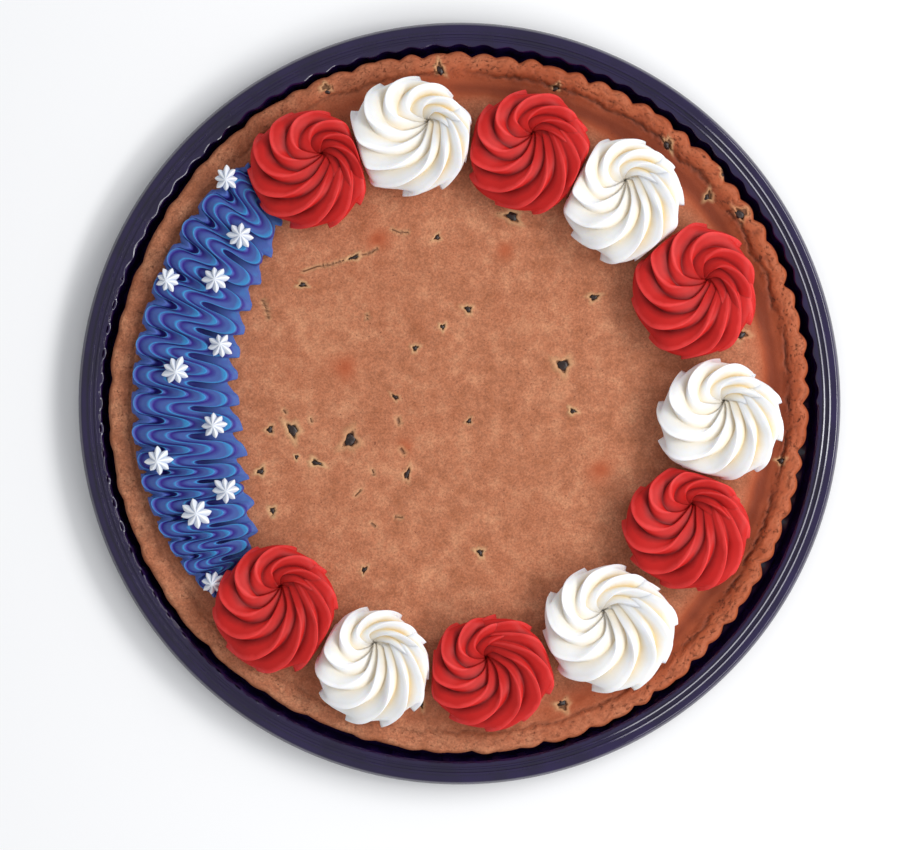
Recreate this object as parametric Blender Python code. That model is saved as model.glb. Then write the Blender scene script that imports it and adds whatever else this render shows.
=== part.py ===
"""A frosted cookie cake on its shallow fluted tray, as sold at a bakery counter.

A giant round biscuit with a fluted, raised edge lies in a thin plastic tray. Eleven rosettes, red and
white by turns, stand on a ring round three quarters of it. A band of blue icing, laid in a tight zigzag,
fills the last quarter and carries eleven small white stars.

Units are metres, +Z is up, and the origin is under the middle of the tray, on the table.
"""

import math
import random

import bmesh
import bpy
from mathutils import Vector, noise

MM = 0.001
GAP = 0.3 * MM  # air kept between pieces that touch

# Flutes, shared by the tray's wall and the cookie that was baked to fit it
FLUTES = 90

# Tray: a drawn sheet with a flat floor, a fluted wall and a wide rim with a bead for a lid
SHEET = 0.9 * MM
TRAY_HEIGHT = 13.0 * MM
TRAY_RADIUS = 166.8 * MM
LIP_DROP = 3.4 * MM
LIP_FLARE = 1.1 * MM
WALL_FOOT_RADIUS = 154.6 * MM
WALL_TOP_RADIUS = 158.2 * MM
WALL_TOP_DROP = 0.7 * MM
RIM_INNER_RADIUS = 159.8 * MM
BEAD_RADIUS = 162.2 * MM
BEAD_HALF_WIDTH = 1.0 * MM
BEAD_HEIGHT = 0.9 * MM
TRAY_FLUTE_DEPTH = 1.7 * MM
RIM_SEGMENTS = 72

# Cookie: a flat field, a shallow dip round it and a raised fluted edge
COOKIE_RADIUS = 152.4 * MM
COOKIE_FOOT_INSET = 2.2 * MM
COOKIE_FLUTE_DEPTH = 2.0 * MM
FIELD_THICKNESS = 12.0 * MM
EDGE_THICKNESS = 13.4 * MM
SIDE_THICKNESS = 9.6 * MM
DIP_DEPTH = 1.0 * MM
CRAG = 0.55 * MM  # height of the crags on the raised edge
RELIEF = 0.45 * MM  # height of the swells on the open field
OPEN_FIELD_RADIUS = 86.0 * MM
COOKIE_BOTTOM = SHEET + GAP
FIELD_TOP = COOKIE_BOTTOM + FIELD_THICKNESS
ICING_BASE = FIELD_TOP + GAP

# Chocolate chips that show in the open field: (angle in degrees, distance, radius) from the middle
CHIPS = (
    (20.4, 48.4 * MM, 3.2 * MM),
    (197.8, 50.6 * MM, 3.4 * MM),
    (189.0, 74.5 * MM, 3.2 * MM),
    (233.4, 37.8 * MM, 2.4 * MM),
    (96.6, 73.6 * MM, 2.2 * MM),
    (74.3, 85.0 * MM, 3.0 * MM),
    (84.7, 40.5 * MM, 2.4 * MM),
    (37.9, 74.9 * MM, 1.9 * MM),
    (202.6, 67.8 * MM, 2.2 * MM),
    (282.0, 66.5 * MM, 2.3 * MM),
    (356.8, 50.6 * MM, 2.0 * MM),
    (125.0, 77.0 * MM, 2.2 * MM),
)
CHIP_STANDS_OUT = 0.7 * MM

# Rosettes, going clockwise: (angle in degrees, distance from the middle, radius)
ROSETTES = (
    (123.1, 121.6 * MM, 26.1 * MM),
    (100.3, 118.8 * MM, 26.5 * MM),
    (74.4, 113.7 * MM, 26.8 * MM),
    (50.8, 114.0 * MM, 26.7 * MM),
    (25.5, 113.6 * MM, 28.2 * MM),
    (-3.5, 113.7 * MM, 27.2 * MM),
    (-29.2, 112.4 * MM, 27.2 * MM),
    (-56.3, 117.7 * MM, 28.8 * MM),
    (-83.4, 117.9 * MM, 26.5 * MM),
    (-108.4, 119.5 * MM, 25.5 * MM),
    (-132.1, 119.0 * MM, 27.2 * MM),
)
ROSETTE_HEIGHT = 18.5 * MM
NOZZLE_POINTS = 11
RIDGE_DEPTH = 3.0 * MM
GROOVE_PLACE = 0.36  # share of a ridge's pitch from its crest to the groove that follows it
STRAND_END = 150.0  # where the strand stops, in degrees round the swirl's eye
STRAND_END_SPREAD = 7.0
OVERLAP_RISE = 2.4 * MM  # the strand's end lies this much higher than its start
SWIRL_OFFSET = Vector((2.0 * MM, 8.0 * MM))  # the swirl's eye sits off the rosette's centre
EYE_DEPTH = 7.5 * MM
# A rosette's outline, from its foot to the lip of its eye: (share of radius, share of height)
ROSETTE_PROFILE = (
    (0.80, 0.00),
    (0.95, 0.14),
    (1.00, 0.32),
    (0.95, 0.55),
    (0.82, 0.77),
    (0.63, 0.93),
    (0.43, 1.00),
    (0.25, 0.94),
    (0.11, 0.80),
)

# Blue band: one ridged strand laid to and fro along an arc. (angle, inner radius, outer radius)
BAND_EDGES = (
    (131.2, 132.0 * MM, 140.5 * MM),
    (134.0, 116.0 * MM, 142.8 * MM),
    (138.0, 104.0 * MM, 143.4 * MM),
    (150.0, 99.0 * MM, 143.4 * MM),
    (165.0, 98.0 * MM, 143.4 * MM),
    (180.0, 96.0 * MM, 143.4 * MM),
    (193.0, 96.5 * MM, 143.0 * MM),
    (204.0, 102.0 * MM, 142.2 * MM),
    (212.0, 108.0 * MM, 140.0 * MM),
    (218.6, 124.0 * MM, 137.0 * MM),
)
BAND_PASSES = 15  # to and fro movements
SECTIONS_PER_PASS = 6
BAND_SLANT = 0.35  # the strokes lean: how far they run along the arc for each step inwards
BAND_EDGE_HEIGHT = 3.4 * MM
BAND_FOOT_INSET = 2.0 * MM
# Ridges across the strand, in shares of half the band's width: (place, swing), then the height
BAND_CRESTS = (
    (0.60, 0.26, 7.6 * MM),
    (0.31, 0.34, 9.6 * MM),
    (-0.02, 0.36, 9.8 * MM),
    (-0.37, 0.36, 8.6 * MM),
)
BAND_GROOVE = 2.6 * MM

# Small stars, each a short press of a small nozzle: (x, y, radius)
STARS = (
    (-101.7 * MM, 98.2 * MM, 5.4 * MM),
    (-95.6 * MM, 72.9 * MM, 5.8 * MM),
    (-127.0 * MM, 53.9 * MM, 5.2 * MM),
    (-106.5 * MM, 54.3 * MM, 5.8 * MM),
    (-104.3 * MM, 25.1 * MM, 5.4 * MM),
    (-123.9 * MM, 14.4 * MM, 6.0 * MM),
    (-106.7 * MM, -9.4 * MM, 5.5 * MM),
    (-131.1 * MM, -24.9 * MM, 6.0 * MM),
    (-102.1 * MM, -37.7 * MM, 5.8 * MM),
    (-115.0 * MM, -48.2 * MM, 6.6 * MM),
    (-107.3 * MM, -78.3 * MM, 5.2 * MM),
)
STAR_HEIGHT = 5.6 * MM
STAR_POINTS = 8
STAR_WAIST = 0.68  # share of the radius at the notches between points
# From foot to shoulder: (share of the radius, share of the height); the tip closes it
STAR_PROFILE = ((0.80, 0.0), (1.0, 0.28), (0.58, 0.72))

RANDOM_SEED = 12


def clear_scene():
    """Empties the scene that Blender starts with."""
    for old in list(bpy.data.objects):
        bpy.data.objects.remove(old, do_unlink=True)


def make_collection(name):
    """A new collection in the scene."""
    collection = bpy.data.collections.new(name)
    bpy.context.scene.collection.children.link(collection)
    return collection


def linear(channel):
    """One sRGB channel, from 0 to 1, as linear light."""
    if channel <= 0.04045:
        return channel / 12.92
    return ((channel + 0.055) / 1.055) ** 2.4


def make_material(name, hex_colour, roughness):
    """A Principled material of one colour."""
    material = bpy.data.materials.new(name)
    material.use_nodes = True
    shader = material.node_tree.nodes["Principled BSDF"]
    channels = [int(hex_colour[i:i + 2], 16) / 255 for i in (1, 3, 5)]
    shader.inputs["Base Color"].default_value = (*[linear(c) for c in channels], 1.0)
    shader.inputs["Roughness"].default_value = roughness
    shader.inputs["Metallic"].default_value = 0.0
    return material


def add_object(bm, name, material, collection):
    """Closes a bmesh into a named object with its faces pointing out."""
    bmesh.ops.recalc_face_normals(bm, faces=bm.faces)
    mesh = bpy.data.meshes.new(name)
    bm.to_mesh(mesh)
    bm.free()
    mesh.materials.append(material)
    piece = bpy.data.objects.new(name, mesh)
    collection.objects.link(piece)
    return piece


def add_section(bm, points):
    """A closed loop of vertices, one for each point."""
    made = bmesh.ops.create_circle(bm, cap_ends=False, radius=1.0, segments=len(points))
    for vert, point in zip(made["verts"], points):
        vert.co = point
    return made["verts"]


def add_ring(bm, segments, radius_at, height_at):
    """A loop of vertices round the Z axis, its radius and height given at each angle."""
    points = []
    for i in range(segments):
        angle = 2.0 * math.pi * i / segments
        radius = radius_at(angle)
        points.append((radius * math.cos(angle), radius * math.sin(angle), height_at(angle)))
    return add_section(bm, points)


def join_sections(bm, lower, upper):
    """A band of faces between two loops that may have unlike numbers of vertices."""
    low, high = 0, 0
    while low < len(lower) or high < len(upper):
        low_share = (low + 1) / len(lower)
        high_share = (high + 1) / len(upper)
        corners = [lower[low % len(lower)], upper[high % len(upper)]]
        step_low = low < len(lower) and low_share <= high_share + 1e-9
        step_high = high < len(upper) and high_share <= low_share + 1e-9
        if step_high:
            high += 1
            corners.append(upper[high % len(upper)])
        if step_low:
            low += 1
            corners.append(lower[low % len(lower)])
        bm.faces.new(corners)


def skin_sections(bm, sections):
    """Lofts from each section to the next and caps both ends. Gives the cap on the last."""
    for lower, upper in zip(sections, sections[1:]):
        join_sections(bm, lower, upper)
    bm.faces.new(sections[0])
    return bm.faces.new(sections[-1])


def steady(value):
    """A radius or height that is the same all round."""
    return lambda angle: value


def wave(middle, depth):
    """A radius that goes in and out once a flute."""
    return lambda angle: middle + 0.5 * depth * math.cos(FLUTES * angle)


def scallop(outer, depth):
    """A radius made of round lobes with a sharp notch between them, one lobe a flute."""
    return lambda angle: outer - depth * (1.0 - abs(math.sin(0.5 * FLUTES * angle)))


def make_tray(collection):
    """The drawn plastic tray: up its inner face, over the rim and back along its outer face."""
    wave_steps = 2 * FLUTES
    rim = TRAY_HEIGHT
    inner = (
        (wave_steps, wave(WALL_FOOT_RADIUS, TRAY_FLUTE_DEPTH), SHEET),
        (wave_steps, wave(WALL_TOP_RADIUS, TRAY_FLUTE_DEPTH), rim - WALL_TOP_DROP),
        (RIM_SEGMENTS, steady(RIM_INNER_RADIUS), rim),
        (RIM_SEGMENTS, steady(BEAD_RADIUS - BEAD_HALF_WIDTH), rim),
        (RIM_SEGMENTS, steady(BEAD_RADIUS), rim + BEAD_HEIGHT),
        (RIM_SEGMENTS, steady(BEAD_RADIUS + BEAD_HALF_WIDTH), rim),
        (RIM_SEGMENTS, steady(TRAY_RADIUS - LIP_FLARE), rim - 0.3 * SHEET),
        (RIM_SEGMENTS, steady(TRAY_RADIUS), rim - LIP_DROP),
    )
    outer = (
        (RIM_SEGMENTS, steady(TRAY_RADIUS - SHEET), rim - LIP_DROP),
        (RIM_SEGMENTS, steady(TRAY_RADIUS - LIP_FLARE - SHEET), rim - 1.3 * SHEET),
        (RIM_SEGMENTS, steady(RIM_INNER_RADIUS + 0.6 * SHEET), rim - SHEET),
        (wave_steps, wave(WALL_TOP_RADIUS + SHEET, TRAY_FLUTE_DEPTH), rim - WALL_TOP_DROP - SHEET),
        (wave_steps, wave(WALL_FOOT_RADIUS + SHEET, TRAY_FLUTE_DEPTH), 0.0),
    )
    bm = bmesh.new()
    rings = [add_ring(bm, steps, radius, steady(z)) for steps, radius, z in inner + outer]
    skin_sections(bm, rings)
    return add_object(bm, "tray", make_material("Tray plastic", "#2C2438", 0.25), collection)


def crag_height(base, amount):
    """A height that wanders along a ring, as a broken crust does."""
    def height(angle):
        place = Vector((9.0 * math.cos(angle), 9.0 * math.sin(angle), 40.0 * base))
        return base + amount * noise.noise(place)
    return height


def make_cookie(collection):
    """The biscuit: fluted side, craggy raised edge, a dip inside it, then the open field."""
    bottom = COOKIE_BOTTOM
    lobe_steps = 3 * FLUTES
    rings_in = (
        (120, steady(147.2 * MM), crag_height(bottom + EDGE_THICKNESS, CRAG)),
        (120, steady(142.8 * MM), crag_height(FIELD_TOP - 0.6 * MM, 0.5 * CRAG)),
        (100, steady(137.5 * MM), steady(FIELD_TOP - DIP_DEPTH)),
        (90, steady(130.0 * MM), steady(FIELD_TOP - 0.3 * DIP_DEPTH)),
        (72, steady(122.0 * MM), steady(FIELD_TOP)),
        (48, steady(OPEN_FIELD_RADIUS), steady(FIELD_TOP)),
        (40, steady(68.0 * MM), crag_height(FIELD_TOP, RELIEF)),
        (30, steady(49.0 * MM), crag_height(FIELD_TOP, -RELIEF)),
        (20, steady(30.0 * MM), crag_height(FIELD_TOP, RELIEF)),
        (8, steady(12.0 * MM), steady(FIELD_TOP + 0.2 * MM)),
    )
    foot = scallop(COOKIE_RADIUS - COOKIE_FOOT_INSET, COOKIE_FLUTE_DEPTH)
    side = scallop(COOKIE_RADIUS, COOKIE_FLUTE_DEPTH)
    brow = scallop(COOKIE_RADIUS - 2.0 * MM, 0.6 * COOKIE_FLUTE_DEPTH)
    bm = bmesh.new()
    rings = [
        add_ring(bm, lobe_steps, foot, steady(bottom)),
        add_ring(bm, lobe_steps, side, steady(bottom + SIDE_THICKNESS)),
        add_ring(bm, lobe_steps, brow, crag_height(bottom + EDGE_THICKNESS - 1.2 * MM, CRAG)),
    ]
    rings += [add_ring(bm, steps, radius, height) for steps, radius, height in rings_in]
    skin_sections(bm, rings)
    crust = make_material("Golden baked crust", "#B6795B", 0.8)
    return add_object(bm, "cookie", crust, collection)


def join_chips(cookie):
    """Sets the chocolate chips in the field and unites them with the cookie."""
    chips = make_collection("Chips to join")
    draw = random.Random(RANDOM_SEED)
    for angle, distance, radius in CHIPS:
        bm = bmesh.new()
        bmesh.ops.create_icosphere(bm, subdivisions=1, radius=radius)
        depth = radius - CHIP_STANDS_OUT
        for vert in bm.verts:
            vert.co *= draw.uniform(0.85, 1.1)
            vert.co += Vector((0.0, 0.0, FIELD_TOP - depth))
            vert.co.x += distance * math.cos(math.radians(angle))
            vert.co.y += distance * math.sin(math.radians(angle))
        add_object(bm, "Chip", cookie.data.materials[0], chips)
    union = cookie.modifiers.new("Chips", "BOOLEAN")
    union.operation = "UNION"
    union.operand_type = "COLLECTION"
    union.solver = "MANIFOLD"
    union.collection = chips
    bpy.context.view_layer.objects.active = cookie
    bpy.ops.object.modifier_apply(modifier=union.name)
    for chip in list(chips.objects):
        bpy.data.objects.remove(chip, do_unlink=True)
    bpy.data.collections.remove(chips)


def rosette_centre(place):
    """Where a rosette stands on the cookie."""
    angle, distance, _ = place
    turn = math.radians(angle)
    return Vector((distance * math.cos(turn), distance * math.sin(turn)))


def profile_normals(radius):
    """For each ring of the rosette's outline, the way it faces: (outwards, up)."""
    points = [Vector((r * radius, z * ROSETTE_HEIGHT)) for r, z in ROSETTE_PROFILE]
    normals = []
    for i in range(len(points)):
        along = points[min(i + 1, len(points) - 1)] - points[max(i - 1, 0)]
        normals.append(Vector((along.y, -along.x)).normalized())
    return normals


def swirl_turn(share):
    """How far a ridge has turned at this share of the rosette's radius.

    The nozzle is held still while it circles, so each of its points draws an arc of a circle through
    the eye, and such an arc turns by the arcsine of its distance.
    """
    return math.asin(min(1.0, share))


def flatten_towards(bm, centre, way, reach):
    """Cuts a rosette off flat, square to a direction, at a distance from its centre."""
    plane_point = centre + way * reach
    bmesh.ops.bisect_plane(
        bm, geom=bm.verts[:] + bm.edges[:] + bm.faces[:], dist=1e-6, clear_outer=True,
        plane_co=(plane_point.x, plane_point.y, 0.0), plane_no=(way.x, way.y, 0.0))
    rim = [edge for edge in bm.edges if edge.is_boundary]
    bmesh.ops.holes_fill(bm, edges=rim, sides=0)


def press_rosettes(bm, centre, radius, other_centre, other_radius):
    """Flattens a rosette where the next one presses against it, midway between the two."""
    between = other_centre - centre
    overlap = radius + other_radius - between.length
    if overlap > -GAP:
        flatten_towards(bm, centre, between.normalized(), radius - 0.5 * overlap - 0.5 * GAP)


def make_room_for_star(bm, centre, radius, star):
    """Flattens a rosette where a star stands right beside it."""
    between = Vector(star[:2]) - centre
    reach = between.length - star[2] - GAP
    if reach < radius:
        flatten_towards(bm, centre, between.normalized(), reach)


def make_rosette(number, material, collection, name):
    """A swirl of icing from a star nozzle: ridges that turn as they close on a sunken eye."""
    place = ROSETTES[number]
    radius = place[2]
    centre = rosette_centre(place)
    normals = profile_normals(radius)
    pitch = 2.0 * math.pi / NOZZLE_POINTS
    first = math.radians(STRAND_END + STRAND_END_SPREAD * math.sin(2.4 * number))
    bm = bmesh.new()
    rings = []
    for level, (share, height_share) in enumerate(ROSETTE_PROFILE):
        made = bmesh.ops.create_circle(bm, cap_ends=False, radius=1.0, segments=2 * NOZZLE_POINTS)
        shift = SWIRL_OFFSET * (1.0 - share) ** 1.4 if level > 2 else Vector((0.0, 0.0))
        turn = first - swirl_turn(share)
        lift_share = math.sin(math.pi * min(1.0, share + 0.12)) if level > 2 else 0.0
        for i, vert in enumerate(made["verts"]):
            ridge, in_groove = divmod(i, 2)
            around = turn - pitch * (ridge + GROOVE_PLACE * in_groove)
            depth = RIDGE_DEPTH * in_groove * min(1.0, share / 0.35)
            reach = share * radius - depth * normals[level].x
            up = height_share * ROSETTE_HEIGHT - depth * normals[level].y
            if level == 0:
                up = 0.0
            up += OVERLAP_RISE * lift_share * (0.5 - ridge / NOZZLE_POINTS)
            vert.co = (
                centre.x + shift.x + reach * math.cos(around),
                centre.y + shift.y + reach * math.sin(around),
                ICING_BASE + up,
            )
        rings.append(made["verts"])
    lip = skin_sections(bm, rings)
    eye = bmesh.ops.poke(bm, faces=[lip])["verts"][0]
    eye.co.z = ICING_BASE + ROSETTE_HEIGHT - EYE_DEPTH
    for other in (number - 1, number + 1):
        if 0 <= other < len(ROSETTES):
            press_rosettes(bm, centre, radius, rosette_centre(ROSETTES[other]), ROSETTES[other][2])
    for star in STARS:
        make_room_for_star(bm, centre, radius, star)
    return add_object(bm, name, material, collection)


def band_edges_at(angle):
    """(inner, outer) radius of the blue band at an angle in degrees."""
    for (a0, in0, out0), (a1, in1, out1) in zip(BAND_EDGES, BAND_EDGES[1:]):
        if angle <= a1:
            share = (angle - a0) / (a1 - a0)
            return in0 + share * (in1 - in0), out0 + share * (out1 - out0)
    return BAND_EDGES[-1][1:]


def band_section(angle):
    """One stroke across the band, cut at its angle: (radius, height) from outer foot to inner."""
    start, end = BAND_EDGES[0][0], BAND_EDGES[-1][0]
    phase = 2.0 * math.pi * BAND_PASSES * (angle - start) / (end - start)
    inner, outer = band_edges_at(angle)
    middle, half = 0.5 * (inner + outer), 0.5 * (outer - inner)
    # The band is full height where it is wide and thins out to its tips
    fullness = min(1.0, half / (20.0 * MM))
    swing = math.cos(phase)
    points = [
        (outer - BAND_FOOT_INSET * fullness, 0.0),
        (outer + half * 0.04 * (swing - 1.0), BAND_EDGE_HEIGHT * fullness),
    ]
    before = None
    for place, reach, height in BAND_CRESTS:
        crest = (middle + half * (place + reach * swing), height * fullness)
        if before:
            low = min(before[1], crest[1]) - BAND_GROOVE * fullness
            points.append((0.5 * (before[0] + crest[0]), low))
        points.append(crest)
        before = crest
    points.append((inner + half * 0.06 * (1.0 + swing), BAND_EDGE_HEIGHT * fullness))
    points.append((inner + BAND_FOOT_INSET * fullness, 0.0))
    return points


def stroke_angle(angle, radius):
    """Where a leaning stroke has got to along the arc by the time it reaches a radius, in radians."""
    inner, outer = band_edges_at(angle)
    middle = 0.5 * (inner + outer)
    fullness = min(1.0, (outer - inner) / (40.0 * MM))
    return math.radians(angle) + fullness * BAND_SLANT * (middle - radius) / middle


def make_band(material, collection):
    """The blue band: cross-sections that swing in and out, skinned one to the next."""
    start, end = BAND_EDGES[0][0], BAND_EDGES[-1][0]
    count = BAND_PASSES * SECTIONS_PER_PASS
    bm = bmesh.new()
    rings = []
    for i in range(count + 1):
        angle = start + (end - start) * i / count
        points = band_section(angle)
        section = []
        for radius, height in points:
            turn = stroke_angle(angle, radius)
            section.append((radius * math.cos(turn), radius * math.sin(turn), ICING_BASE + height))
        rings.append(add_section(bm, section))
    skin_sections(bm, rings)
    return add_object(bm, "icing_blue", material, collection)


def clear_of_rosette(band, place, cutters):
    """Cuts the band back where a rosette stands against it."""
    centre = rosette_centre(place)
    depth = 4.0 * ROSETTE_HEIGHT
    bpy.ops.mesh.primitive_cylinder_add(
        vertices=36, radius=place[2] + GAP, depth=depth, location=(centre.x, centre.y, ICING_BASE))
    cutter = bpy.context.object
    cutter.name = "Room for a rosette"
    cutter.hide_render = True
    cutter.display_type = "WIRE"
    for home in list(cutter.users_collection):
        home.objects.unlink(cutter)
    cutters.objects.link(cutter)
    cut = band.modifiers.new("Rosette", "BOOLEAN")
    cut.operation = "DIFFERENCE"
    cut.object = cutter


def band_height(x, y):
    """The height of the band's surface above its base at one place."""
    angle = math.degrees(math.atan2(y, x)) % 360.0
    radius = math.hypot(x, y)
    start, end = BAND_EDGES[0][0], BAND_EDGES[-1][0]
    lean = stroke_angle(min(max(angle, start), end), radius) - math.radians(angle)
    section = band_section(min(max(angle - math.degrees(lean), start), end))
    for (r0, z0), (r1, z1) in zip(section, section[1:]):
        if min(r0, r1) <= radius <= max(r0, r1) and r0 != r1:
            return z0 + (z1 - z0) * (radius - r0) / (r1 - r0)
    return 0.0


def band_top(x, y, reach):
    """The highest point of the band under a small round piece."""
    highest = 0.0
    for step in range(40):
        turn = 2.0 * math.pi * step / 40
        for ring in range(9):
            out = reach * ring / 8
            highest = max(highest, band_height(x + out * math.cos(turn), y + out * math.sin(turn)))
    return highest


def make_star(number, material, collection):
    """A small pointed star, drawn up to a tip in the middle."""
    x, y, radius = STARS[number]
    base = ICING_BASE + band_top(x, y, radius) + GAP
    turn = math.radians(11.0 * number)
    bm = bmesh.new()
    sections = []
    for share, height_share in STAR_PROFILE:
        points = []
        for i in range(2 * STAR_POINTS):
            around = turn + math.pi * i / STAR_POINTS
            reach = share * radius * (STAR_WAIST if i % 2 else 1.0)
            points.append((x + reach * math.cos(around), y + reach * math.sin(around),
                           base + height_share * STAR_HEIGHT))
        sections.append(add_section(bm, points))
    top = skin_sections(bm, sections)
    tip = bmesh.ops.poke(bm, faces=[top])["verts"][0]
    tip.co.z = base + STAR_HEIGHT
    return add_object(bm, f"star_{number + 1}", material, collection)


def main():
    clear_scene()
    cake = make_collection("Cookie cake")
    cutters = make_collection("Cutters")
    red = make_material("Red buttercream", "#D8262C", 0.45)
    white = make_material("White buttercream", "#F4EFE4", 0.45)
    blue = make_material("Blue buttercream", "#3A50A0", 0.45)
    make_tray(cake)
    join_chips(make_cookie(cake))
    for number in range(len(ROSETTES)):
        colour, material = (("white", white) if number % 2 else ("red", red))
        make_rosette(number, material, cake, f"rosette_{colour}_{number // 2 + 1}")
    band = make_band(blue, cake)
    for place in (ROSETTES[0], ROSETTES[-1]):
        clear_of_rosette(band, place, cutters)
    for number in range(len(STARS)):
        make_star(number, white, cake)


main()
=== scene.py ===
# %% [markdown]
# # A frosted cookie cake on its tray
#
# A cookie cake is one giant biscuit, baked in a fluted pan and decorated like a cake. This lesson
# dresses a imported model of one: a dark plastic tray, the cookie, a ring of red and white rosettes,
# a band of blue icing and eleven small white stars. Every piece is a mesh that starts from a simple
# operator and is then pressed into shape, the way dough and icing are.

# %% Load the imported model
import math
import random

import bmesh
import bpy
import numpy as np
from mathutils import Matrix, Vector, noise


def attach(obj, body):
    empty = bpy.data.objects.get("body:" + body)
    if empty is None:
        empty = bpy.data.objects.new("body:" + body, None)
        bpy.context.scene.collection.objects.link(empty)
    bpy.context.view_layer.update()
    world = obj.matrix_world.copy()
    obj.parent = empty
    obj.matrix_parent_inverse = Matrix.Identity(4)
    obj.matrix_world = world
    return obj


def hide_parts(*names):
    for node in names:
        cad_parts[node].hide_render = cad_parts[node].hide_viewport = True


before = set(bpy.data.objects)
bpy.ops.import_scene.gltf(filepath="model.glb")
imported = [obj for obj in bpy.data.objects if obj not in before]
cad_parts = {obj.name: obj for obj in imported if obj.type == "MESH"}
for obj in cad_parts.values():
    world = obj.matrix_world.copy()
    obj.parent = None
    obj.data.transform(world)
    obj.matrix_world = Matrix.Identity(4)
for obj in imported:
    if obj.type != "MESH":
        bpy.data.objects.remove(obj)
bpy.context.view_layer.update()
print("packed nodes:", len(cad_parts))

# %% [markdown]
# ## Sizes
#
# The cookie was baked in a 12 inch pan, so one pixel of the photograph is 0.436 mm. All sizes are
# metres, and MM is a millimetre. Places read from the photograph are given in its pixels, and one
# function turns them into metres.

# %% Units and places
MM = 0.001
PIXEL = 0.43636 * MM
PHOTO_WIDTH = 921
MIDDLE_COLUMN, MIDDLE_ROW = 459.5, 403.5


def place_of(column, row):
    """The (x, y) of a pixel of the photograph, in metres from the middle of the cookie."""
    return (column - MIDDLE_COLUMN) * PIXEL, (MIDDLE_ROW - row) * PIXEL


def direction(degrees):
    """The cosine and the sine of an angle."""
    return math.cos(math.radians(degrees)), math.sin(math.radians(degrees))


def clamp(x):
    """0 below 0, 1 above 1, and x between."""
    return np.clip(x, 0.0, 1.0)


def soft_step(x):
    """The same with a smooth S between."""
    x = clamp(x)
    return x * x * (3.0 - 2.0 * x)


print("photo's left edge lies at x =", round(place_of(0, 0)[0] / MM), "mm")

# %% [markdown]
# ## Camera, floor and light
#
# The photograph looks straight down from far away, so a long lens stands 3 m up. The light is one big
# soft lamp to the right and a little above, a long low strip beside it that draws the thin lines on
# the tray, and a pale sky that fills the shadows. Icing needs soft light with a clear side: its
# folds show only by their shading.

# %% Camera
CAMERA_HEIGHT = 3.0
SHARP_HEIGHT = 20.0 * MM  # the height at which a photo pixel measures PIXEL
SENSOR = 36.0
VIEW_MIDDLE = (460.5, 425.0)  # the photograph's middle, in its pixels
scene = bpy.context.scene
camera_data = bpy.data.cameras.new("Camera")
camera_data.sensor_fit = "HORIZONTAL"
camera_data.sensor_width = SENSOR
camera_data.lens = SENSOR * (CAMERA_HEIGHT - SHARP_HEIGHT) / (PHOTO_WIDTH * PIXEL)
camera = bpy.data.objects.new("Camera", camera_data)
camera.location = (*place_of(*VIEW_MIDDLE), CAMERA_HEIGHT)
scene.collection.objects.link(camera)
scene.camera = camera
print("lens:", round(camera_data.lens), "mm")


# %% Colours and nodes
def linear(hex_colour):
    """An sRGB colour such as "#C08050" as the linear RGBA that shaders use."""
    parts = [int(hex_colour[i:i + 2], 16) / 255.0 for i in (1, 3, 5)]
    return tuple(c / 12.92 if c <= 0.04045 else ((c + 0.055) / 1.055) ** 2.4 for c in parts) + (1.0,)


def new_material(name):
    """A material, and a function that adds a node to it. The node's sockets take values, hex
    colours, other sockets, or whole nodes, which give their first output in use. A surface is
    linked to the material's output."""
    material = bpy.data.materials.new(name)
    material.use_nodes = True
    tree = material.node_tree
    tree.nodes.clear()
    output = tree.nodes.new("ShaderNodeOutputMaterial")

    def add(kind, sockets=None, **settings):
        made = tree.nodes.new("ShaderNode" + kind)
        for setting, value in settings.items():
            setattr(made, setting, value)
        for socket, value in (sockets or {}).items():
            if isinstance(value, bpy.types.Node):
                value = next(out for out in value.outputs if out.enabled)
            if isinstance(value, bpy.types.NodeSocket):
                tree.links.new(value, made.inputs[socket])
            else:
                made.inputs[socket].default_value = linear(value) if isinstance(value, str) else value
        if "BSDF" in made.outputs:
            tree.links.new(made.outputs["BSDF"], output.inputs["Surface"])
        return made

    return material, add


def set_ramp(ramp, stops):
    """Gives a colour ramp its stops, as (place, hex colour)."""
    elements = ramp.color_ramp.elements
    while len(elements) < len(stops):
        elements.new(0.5)
    for element, (where, colour) in zip(elements, stops):
        element.position, element.color = where, linear(colour)


# %% Floor
def add_object(bm, name, material):
    """Turns a bmesh into an object of one material in the scene."""
    mesh = bpy.data.meshes.new(name)
    bm.to_mesh(mesh)
    bm.free()
    mesh.materials.append(material)
    made = bpy.data.objects.new(name, mesh)
    scene.collection.objects.link(made)
    return made


def make_floor():
    """A plain pale table top that the tray stands on."""
    material, add = new_material("Matt white card")
    add("BsdfPrincipled", {"Base Color": "#FBFBFB", "Roughness": 0.9, "Specular IOR Level": 0.1})
    bm = bmesh.new()
    bmesh.ops.create_grid(bm, x_segments=1, y_segments=1, size=6.0)
    floor = add_object(bm, "Floor", material)
    print("floor:", [round(v, 1) for v in floor.dimensions])


make_floor()


# %% Light
SKY_COLOUR, SKY_STRENGTH = "#F4F6FA", 0.59


def add_lamp(name, azimuth, elevation, distance, width, height, power):
    """A soft lamp that faces the cake from a compass angle and a height angle, in degrees."""
    data = bpy.data.lights.new(name, "AREA")
    data.shape = "RECTANGLE"
    data.size, data.size_y = width, height
    data.energy = power
    lamp = bpy.data.objects.new(name, data)
    (east, north), (flat, up) = direction(azimuth), direction(elevation)
    toward = Vector((flat * east, flat * north, up))
    lamp.location = toward * distance
    lamp.rotation_euler = toward.to_track_quat("Z", "Y").to_euler()
    scene.collection.objects.link(lamp)


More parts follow.
